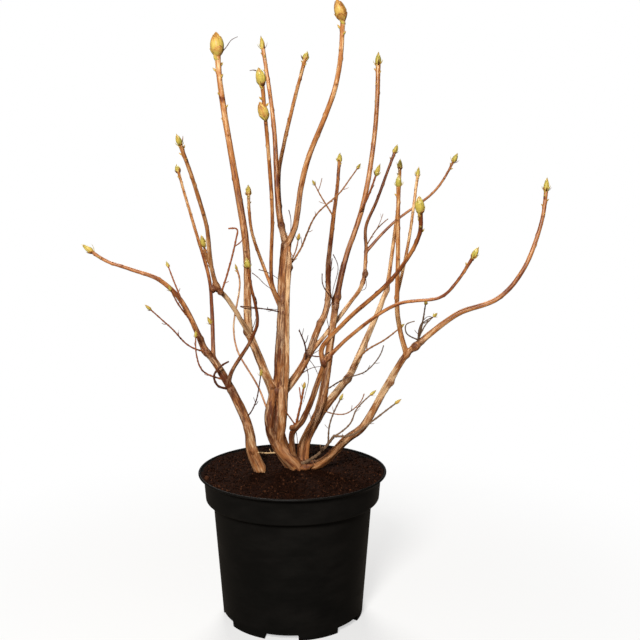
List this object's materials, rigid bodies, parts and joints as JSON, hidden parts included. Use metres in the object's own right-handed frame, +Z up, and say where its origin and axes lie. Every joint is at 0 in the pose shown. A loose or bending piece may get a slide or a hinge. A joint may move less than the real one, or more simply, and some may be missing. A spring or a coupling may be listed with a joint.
{
  "type": "potted azalea shrub",
  "caption": "Leafless garden shrub with forking brown stems and opening buds at the shoot tips, standing in a round black nursery pot filled with peat.",
  "frame": {"origin": "the middle of the pot's flat underside, where it stands", "axes": "+Z up along the pot's axis, -Y the front, +X to the right seen from the front"},
  "size_m": [0.4423, 0.3218, 0.5958],
  "materials": {
    "pot_plastic": "satin",
    "peat": "matte",
    "stem_bark": "matte",
    "shoot_bark": "satin",
    "twig_bark": "matte"
  },
  "bodies": {
    "root": {"pot": "pot_plastic", "soil": "peat", "trunk": "stem_bark", "left_stem": "stem_bark", "left_arch": "shoot_bark", "left_back": "shoot_bark", "left_loop": "shoot_bark", "tall_left": "stem_bark", "left_front": "shoot_bark", "thin_riser": "shoot_bark", "fork_left": "shoot_bark", "fork_back": "shoot_bark", "fork_right": "shoot_bark", "inner_left": "shoot_bark", "inner_short": "shoot_bark", "back_bough": "stem_bark", "back_right": "shoot_bark", "far_right_back": "shoot_bark", "rear_stem": "stem_bark", "tall_right": "shoot_bark", "mid_right": "stem_bark", "mid_riser": "shoot_bark", "front_stem": "shoot_bark", "front_right": "shoot_bark", "front_far": "shoot_bark", "right_stem": "stem_bark", "right_arch": "shoot_bark", "right_riser": "shoot_bark", "right_slender": "shoot_bark", "low_right_spray": "twig_bark", "right_knot_spray": "twig_bark", "left_outer_twig": "twig_bark", "left_pale_twig": "twig_bark", "arch_back_twig": "twig_bark", "arch_front_twig": "twig_bark", "left_curl": "twig_bark", "left_low_twig": "twig_bark", "hooked_twig": "twig_bark", "left_front_shoot": "twig_bark", "dry_straw": "twig_bark", "mid_climber": "twig_bark", "back_side_twig": "twig_bark", "tall_side_shoot": "twig_bark", "back_fine_twig": "twig_bark", "front_riser": "twig_bark", "back_knot_twigs": "twig_bark", "mid_right_spray": "twig_bark", "rear_low_spray": "twig_bark", "rear_fine_twig": "twig_bark", "trunk_fine_twig": "twig_bark", "rear_knot_twigs": "twig_bark"}
  },
  "joints": []
}
